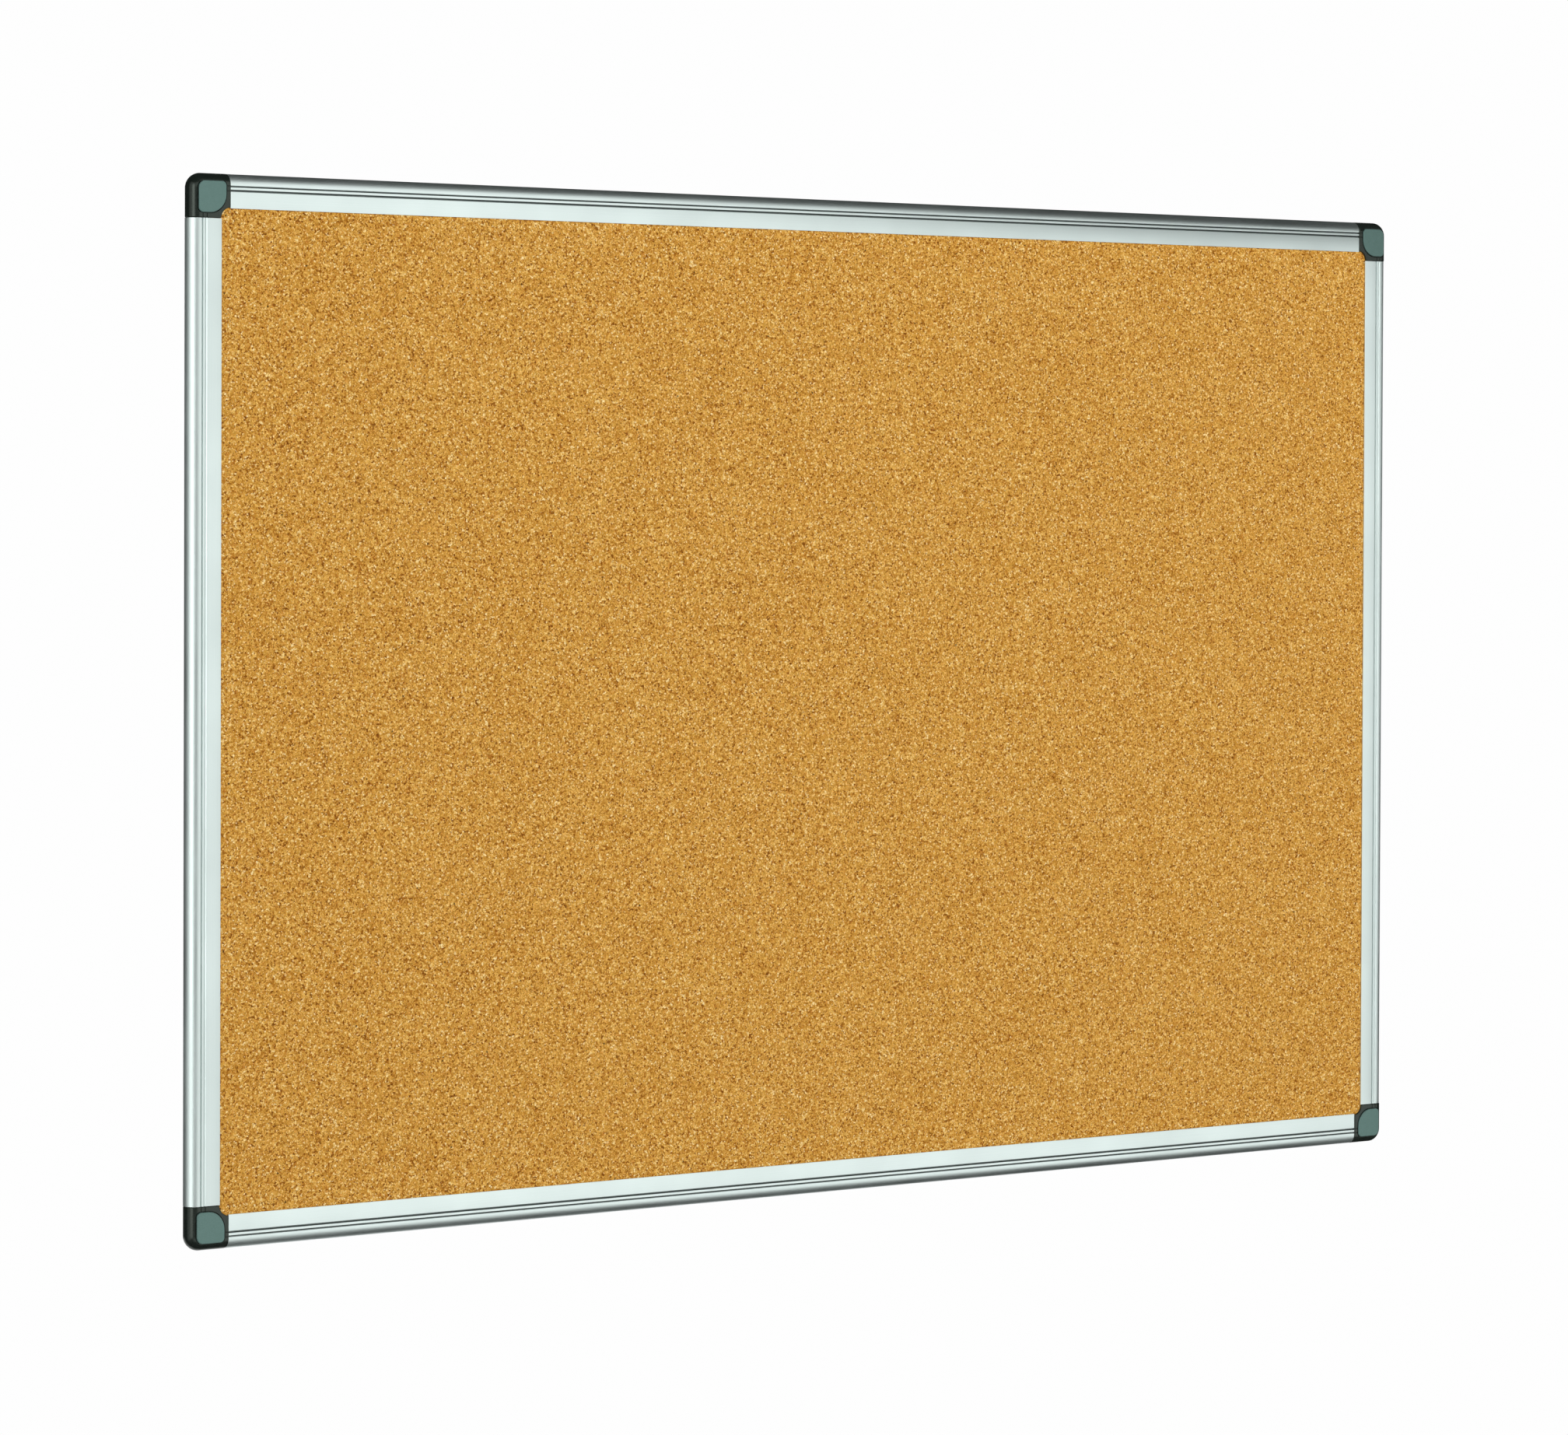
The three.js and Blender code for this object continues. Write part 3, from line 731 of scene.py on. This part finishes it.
def corner_field(x, y, z):
    v = -y
    nr = CORNER_DEPTH / 2
    d2 = plan_corner(x, z, HOLE_INSET - nr, CORNER_R - nr)
    nose = np.where(d2 > 0, np.hypot(d2, v - nr) - nr, np.abs(v - nr) - nr)
    ends = np.maximum(IN - x, IN - z)
    body = round_and(nose, ends, 0.55)
    hollow = CORNER_INNER_R - np.hypot(x - IN, z - IN)
    body = round_and(body, hollow, 0.5)
    # legs
    for a, b in ((x, z), (z, x)):
        leg = leg_field(b - LIP, v, IN - a)
        hole = np.hypot(IN - a - GAP - LEG_SCREW_IN, b - LIP - LEG_SCREW_T) - 1.9
        leg = np.maximum(leg, -hole)
        body = round_or(body, leg, 0.2)
    # room for the panel
    edge = LIP + CHANNEL_DEPTH
    clip = (x + z - (2 * edge - (PANEL_CLIP - 0.6))) / math.sqrt(2)
    pocket = np.maximum(np.maximum(x - edge, z - edge), clip)
    pocket = np.maximum(pocket, slab(v, RAIL_WALL, 11.2))
    body = np.maximum(body, -pocket)
    # two fine lines carry the rails' grooves on to the cap
    for a, b in ((x, z), (z, x)):
        for g in GROOVES:
            mid = LIP + (g[0] + g[1]) / 2
            line = np.maximum(np.maximum(np.abs(b - mid) - 0.24, CORNER_DEPTH - 0.45 - v), a + 8.5)
            body = round_and(body, -line, 0.08)
    # cap recess, screw head recess, screw hole
    body = round_and(body, -np.maximum(cap_plan(x, z, 0.35), CAP_FLOOR - v), 0.22)
    radius = np.hypot(x, z)
    body = round_and(body, -np.maximum(radius - HEAD_R, HEAD_FLOOR - v), 0.2)
    body = round_and(body, -np.maximum(radius - HOLE_R, v - 9.0), 0.25)
    return body


def cap_field(x, y, z):
    v = -y
    crown = 0.10 * np.minimum((x * x + z * z) / 90.0, 1.2)
    plate = round_and(cap_plan(x, z, 0.0), v - (CAP_FRONT - crown), 0.45)
    plate = round_and(plate, CAP_BACK - v, 0.12)
    out = plate
    for i in range(4):
        a = i * math.pi / 2
        u = x * math.cos(a) - z * math.sin(a)
        w = x * math.sin(a) + z * math.cos(a)
        prong = box_field(u, v, w, (-1.6, CAP_BACK - 4.5, 4.1), (1.6, CAP_BACK + 0.5, 5.0), 0.12)
        out = round_or(out, prong, 0.12)
    return out


def make_corners():
    lo, hi = (IN - LEG_LENGTH, -CORNER_DEPTH, IN - LEG_LENGTH), (HOLE_INSET, 0, HOLE_INSET)
    verts, faces, normals = surface_of(corner_field, lo, hi, 0.24, 0.5, "corner")
    cv, cf, cn = surface_of(cap_field, (-9.15, -13.2, -9.15), (9.15, -7.6, 9.15), 0.13, 0.4, "cap")
    hx, hz = W / 2 - HOLE_INSET, H / 2 - HOLE_INSET
    for where, x, z, turn in (
        ("top_right", hx, hz, 0),
        ("bottom_right", hx, -hz, 90),
        ("bottom_left", -hx, -hz, 180),
        ("top_left", -hx, hz, 270),
    ):
        v, n = turned_about_y(verts, normals, turn, x, z)
        mesh_object("moulded_corner_" + where, v, faces, CORNER, "board", "corner_" + where, n)
        v, n = turned_about_y(cv, cn, turn, x, z)
        mesh_object("moulded_cap_" + where, v, cf, CAP, f"cap_{where}_body", "cap_" + where, n)


# ---------------------------------------------------------------------- screws
def screw_field(x, y, z):
    v = -y
    r = np.hypot(x, z)
    head = np.maximum((r + (v - 0.15) - 2.75) / math.sqrt(2), 0.15 - v)
    head = round_and(head, r - 2.68, 0.06)
    turn = np.arctan2(z, x) / (2 * math.pi)
    wave = np.abs(((v / 1.1 - turn) % 1.0) - 0.5) * 2  # 0 at the root, 1 at the crest
    core = 1.14 + 0.36 * np.clip((1 - wave) * 1.6 - 0.4, 0, 1) * np.clip((v - 1.6) / 0.6, 0, 1)
    core = core + 0.0 * r
    tip = 8.2
    core = core * np.clip((tip - v) / 1.8, 0.0, 1.0)
    shank = np.maximum((r - core) * 0.7, np.maximum(v - tip, 0.4 - v))
    body = np.minimum(head, shank)
    depth = v - 1.15 + 0.25 * r
    arms = np.minimum(
        np.maximum(np.abs(x) - (0.32 - 0.06 * v), np.abs(z) - (1.45 - 0.45 * v)),
        np.maximum(np.abs(z) - (0.32 - 0.06 * v), np.abs(x) - (1.45 - 0.45 * v)),
    )
    return round_and(body, -np.maximum(arms, depth), 0.05)


def make_screws():
    verts, faces, normals = surface_of(screw_field, (-2.75, -8.2, -2.75), (2.75, -0.15, 2.75), 0.085, 0.5, "screw")
    ax = W / 2 - CORNER_SIZE - GAP - LEG_SCREW_IN
    az = H / 2 - CORNER_SIZE - GAP - LEG_SCREW_IN
    ox, oz = W / 2 - RAIL_FACE + LEG_SCREW_T, H / 2 - RAIL_FACE + LEG_SCREW_T
    for i, (name, x, z) in enumerate(
        (
            ("screw_top_rail_left", -ax, oz),
            ("screw_top_rail_right", ax, oz),
            ("screw_bottom_rail_left", -ax, -oz),
            ("screw_bottom_rail_right", ax, -oz),
            ("screw_left_rail_top", -ox, az),
            ("screw_left_rail_bottom", -ox, -az),
            ("screw_right_rail_top", ox, az),
            ("screw_right_rail_bottom", ox, -az),
        )
    ):
        v, n = turned_about_y(verts, normals, 23 + 67 * i, x, z)
        mesh_object("self_tapping_" + name, v, faces, ZINC, "board", name, n)


# ----------------------------------------------------------------------- panel
def smooth_noise(shape, cells, rng):
    """Value noise on a grid, smooth between cells."""
    g = rng.random((cells[0] + 3, cells[1] + 3))
    out = []
    for n, c in zip(shape, cells):
        t = np.linspace(0, c, n)
        i = np.floor(t).astype(int)
        f = t - i
        out.append((i, f * f * (3 - 2 * f)))
    (i, u), (j, w) = out
    a, b = g[i][:, j], g[i + 1][:, j]
    c, d = g[i][:, j + 1], g[i + 1][:, j + 1]
    u, w = u[:, None], w[None, :]
    return (a * (1 - u) + b * u) * (1 - w) + (c * (1 - u) + d * u) * w - 0.5


def make_cork():
    """The cork sheet: a closed plate with clipped corners, its face slightly uneven."""
    px, pz = W / 2 - RAIL_FACE + CHANNEL_DEPTH - GAP, H / 2 - RAIL_FACE + CHANNEL_DEPTH - GAP
    nx, nz = 330, 217
    rng = np.random.default_rng(7)
    xs, zs = np.linspace(-px, px, nx), np.linspace(-pz, pz, nz)
    bumps = 0.06 * smooth_noise((nx, nz), (20, 13), rng) + 0.05 * smooth_noise((nx, nz), (95, 63), rng)
    bumps = bumps + 0.05 * (rng.random((nx, nz)) - 0.5)
    front_v, back_v = 11.05, 8.9
    X, Z = np.meshgrid(xs, zs, indexing="ij")
    # the outermost ring of points follows the clipped outline
    over = (np.abs(X) + np.abs(Z)) - (px + pz - PANEL_CLIP)
    keep = over <= 0
    bm = bmesh.new()
    grid = np.empty((nx, nz), object)
    rim = np.minimum(np.minimum(px - np.abs(X), pz - np.abs(Z)), np.maximum(-over, 0))
    fade = np.clip(rim / 4.0, 0, 1)
    up = np.clip((rim - 5.5) / 3.0, 0, 1)
    for i in range(nx):
        for j in range(nz):
            if keep[i, j]:
                v = front_v - 0.02 + float((0.20 * up[i, j] + bumps[i, j]) * fade[i, j])
                grid[i, j] = bm.verts.new((X[i, j] * MM, -v * MM, Z[i, j] * MM))
    for i in range(nx - 1):
        for j in range(nz - 1):
            q = [grid[i, j], grid[i, j + 1], grid[i + 1, j + 1], grid[i + 1, j]]
            q = [w for w in q if w is not None]
            if len(q) >= 3:
                bm.faces.new(q)
    edge = [e for e in bm.edges if len(e.link_faces) == 1]
    made = bmesh.ops.extrude_edge_only(bm, edges=edge)
    low = [g for g in made["geom"] if isinstance(g, bmesh.types.BMVert)]
    for v in low:
        v.co.y = -back_v * MM
    bottom = [e for e in bm.edges if len(e.link_faces) == 1]
    bmesh.ops.contextual_create(bm, geom=bottom)
    bmesh.ops.recalc_face_normals(bm, faces=bm.faces)
    me = bpy.data.meshes.new("cork_face")
    bm.to_mesh(me)
    bm.free()
    o = bpy.data.objects.new("pressed_cork_sheet", me)
    scene.collection.objects.link(o)
    me.materials.append(CORK)
    smooth_by_angle(o, 40)
    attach(o, "board")
    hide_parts("cork_sheet")


def paint(node, material):
    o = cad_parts[node]
    o.data.materials.clear()
    o.data.materials.append(material)


make_cork()
make_rails()
make_corners()
make_screws()
paint("softboard_core", SOFTBOARD)
paint("backing_sheet", BACKING)


# ---------------------------------------------------------------------- camera
cam_data = bpy.data.cameras.new("camera")
cam = bpy.data.objects.new("camera", cam_data)
scene.collection.objects.link(cam)
scene.camera = cam
AZ, EL, ROLL, DIST, FOCAL = -36.67399, 0.96682, 0.21316, 3.25943481, 6990.30395
TARGET = Vector((-0.04000176, -0.012, 0.07303150))
a, e = math.radians(AZ), math.radians(EL)
back = Vector((math.sin(a) * math.cos(e), -math.cos(a) * math.cos(e), math.sin(e)))
right = (-back).cross(Vector((0, 0, 1))).normalized()
up = right.cross(-back).normalized()
r = math.radians(ROLL)
right2 = right * math.cos(r) + up * math.sin(r)
up2 = up * math.cos(r) - right * math.sin(r)
cam.matrix_world = Matrix.Translation(TARGET + back * DIST) @ Matrix((right2, up2, back)).transposed().to_4x4()
cam_data.sensor_fit = "HORIZONTAL"
cam_data.sensor_width = 36.0
cam_data.lens = 36.0 * FOCAL / 2016.0
cam_data.shift_y = -0.09
cam_data.clip_start, cam_data.clip_end = 0.05, 60.0


# ----------------------------------------------------------------------- floor
def make_floor():
    """A pale studio floor below the hung board, fading out before it ends."""
    k = Kit("studio_floor")
    tc = k.nt.nodes.new("ShaderNodeTexCoord")
    flat = k.vmath("MULTIPLY", tc.outputs["Object"], (1.0, 1.0, 0.0))
    dist = k.vmath("LENGTH", flat)
    k.set(Base_Color=(0.86, 0.86, 0.855, 1.0), Roughness=0.7, Alpha=k.range(dist, 2.2, 5.2, 1.0, 0.0, smooth=True))
    bm = bmesh.new()
    bmesh.ops.create_circle(bm, cap_ends=True, segments=96, radius=5.3)
    me = bpy.data.meshes.new("floor")
    bm.to_mesh(me)
    bm.free()
    o = bpy.data.objects.new("floor", me)
    scene.collection.objects.link(o)
    me.materials.append(k.mat)
    o.location = (0, 0, -1.35)
    o.visible_glossy = False


make_floor()


# ---------------------------------------------------------------------- lights
def area(name, where, at, size, size_y, power, colour=(1, 1, 1), spread=180):
    d = bpy.data.lights.new(name, "AREA")
    d.shape = "RECTANGLE"
    d.size, d.size_y, d.energy, d.color = size, size_y, power, colour
    d.spread = math.radians(spread)
    o = bpy.data.objects.new(name, d)
    scene.collection.objects.link(o)
    o.location = where
    o.rotation_mode = "QUATERNION"
    o.rotation_quaternion = (Vector(at) - Vector(where)).to_track_quat("-Z", "Y")
    o.visible_camera = False
    return o


def polar(az, el, dist):
    a, e = math.radians(az), math.radians(el)
    return Vector((math.sin(a) * math.cos(e), -math.cos(a) * math.cos(e), math.sin(e))) * dist


key = area("key", polar(8, 13, 3.0), (0.0, 0, 0.0), 2.2, 1.6, 38)
key.visible_glossy = False
rear = area("rear", polar(196, 38, 3.4), (0, 0, 0), 1.8, 1.2, 100)
rear.visible_glossy = False


def make_flag():
    """A soft-edged black card to the upper right, seen only in reflections, that lets the top rail fade towards its right end."""
    k = Kit("flag")
    nt = k.nt
    clear = nt.nodes.new("ShaderNodeBsdfTransparent")
    mix = nt.nodes.new("ShaderNodeMixShader")
    out = next(n for n in nt.nodes if n.type == "OUTPUT_MATERIAL")
    tc = nt.nodes.new("ShaderNodeTexCoord")
    sep = nt.nodes.new("ShaderNodeSeparateXYZ")
    nt.links.new(tc.outputs["Object"], sep.inputs[0])
    fade = k.math("MULTIPLY", k.range(sep.outputs[0], 0.75, 1.70, smooth=True), k.range(sep.outputs[2], 0.36, 0.47, smooth=True))
    nt.links.new(fade, mix.inputs[0])
    nt.links.new(clear.outputs[0], mix.inputs[1])
    nt.links.new(k.bsdf.outputs[0], mix.inputs[2])
    nt.links.new(mix.outputs[0], out.inputs[0])
    k.set(Base_Color=(0.02, 0.02, 0.02, 1.0))
    k.bsdf.inputs["Roughness"].default_value = 1.0
    k.bsdf.inputs["Specular IOR Level"].default_value = 0.0
    me = bpy.data.meshes.new("flag")
    me.from_pydata([(0.8, -1.5, 0.35), (3.6, -1.5, 0.35), (3.6, -1.5, 2.6), (0.8, -1.5, 2.6)], [], [(0, 1, 2, 3)])
    o = bpy.data.objects.new("flag", me)
    scene.collection.objects.link(o)
    me.materials.append(k.mat)
    o.visible_camera = o.visible_diffuse = o.visible_shadow = False


def make_world():
    """A soft studio: a broad panel to the front right, a tall softbox at the far left, dim elsewhere, and white where the camera looks past the board."""
    w = bpy.data.worlds.new("studio")
    scene.world = w
    w.use_nodes = True
    nt = w.node_tree
    nt.nodes.clear()
    out = nt.nodes.new("ShaderNodeOutputWorld")

    def math_node(op, a, b=None, clamp=False):
        n = nt.nodes.new("ShaderNodeMath")
        n.operation, n.use_clamp = op, clamp
        for i, v in enumerate((a, b)):
            if isinstance(v, bpy.types.NodeSocket):
                nt.links.new(v, n.inputs[i])
            elif v is not None:
                n.inputs[i].default_value = v
        return n.outputs[0]

    def step(value, a, b):
        n = nt.nodes.new("ShaderNodeMapRange")
        n.interpolation_type = "SMOOTHSTEP"
        nt.links.new(value, n.inputs["Value"])
        for key_, v in zip(("From Min", "From Max", "To Min", "To Max"), (a, b, 0.0, 1.0)):
            n.inputs[key_].default_value = v
        return n.outputs[0]

    tc = nt.nodes.new("ShaderNodeTexCoord")
    sep = nt.nodes.new("ShaderNodeSeparateXYZ")
    nt.links.new(tc.outputs["Generated"], sep.inputs[0])
    x, y, z = sep.outputs
    deg = 180 / math.pi
    az = math_node("MULTIPLY", math_node("ARCTAN2", x, math_node("MULTIPLY", y, -1.0)), deg)
    el = math_node("MULTIPLY", math_node("ARCSINE", z), deg)

    def window(value, a, b, c, d):
        return math_node("MULTIPLY", step(value, a, b), math_node("SUBTRACT", 1.0, step(value, c, d)))

    total = None
    for a, b, s in (
        # azimuth window, elevation window, strength
        ((0, 7, 46, 56), (-34, -27, 27, 34), 1.20),
        ((46, 50, 52, 60), (-9, 1, 27, 34), 1.20),
        ((-44, -36, 0, 7), (6, 11, 30, 40), 1.0),
        ((-44, -36, 0, 7), (-40, -30, -16, -11), 1.0),
        ((-71, -66, -47, -42), (-24, 0, 20, 36), 3.1),
        ((-112, -92, -70, -64), (-40, -20, 30, 45), 0.8),
        ((122, 140, 200, 210), (-74, -58, -18, -7), 0.95),
        ((-210, -200, -158, -138), (-74, -58, -18, -7), 0.95),
    ):
        part = math_node("MULTIPLY", math_node("MULTIPLY", window(az, *a), window(el, *b)), s)
        total = part if total is None else math_node("ADD", total, part)
    total = math_node("ADD", total, 0.025)
    light = nt.nodes.new("ShaderNodeBackground")
    light.inputs["Color"].default_value = (0.97, 1.0, 0.985, 1)
    nt.links.new(total, light.inputs["Strength"])
    white = nt.nodes.new("ShaderNodeBackground")
    white.inputs["Color"].default_value = (0.99, 0.99, 0.99, 1)
    path = nt.nodes.new("ShaderNodeLightPath")
    mix = nt.nodes.new("ShaderNodeMixShader")
    nt.links.new(path.outputs["Is Camera Ray"], mix.inputs[0])
    nt.links.new(light.outputs[0], mix.inputs[1])
    nt.links.new(white.outputs[0], mix.inputs[2])
    nt.links.new(mix.outputs[0], out.inputs[0])


make_flag()
make_world()
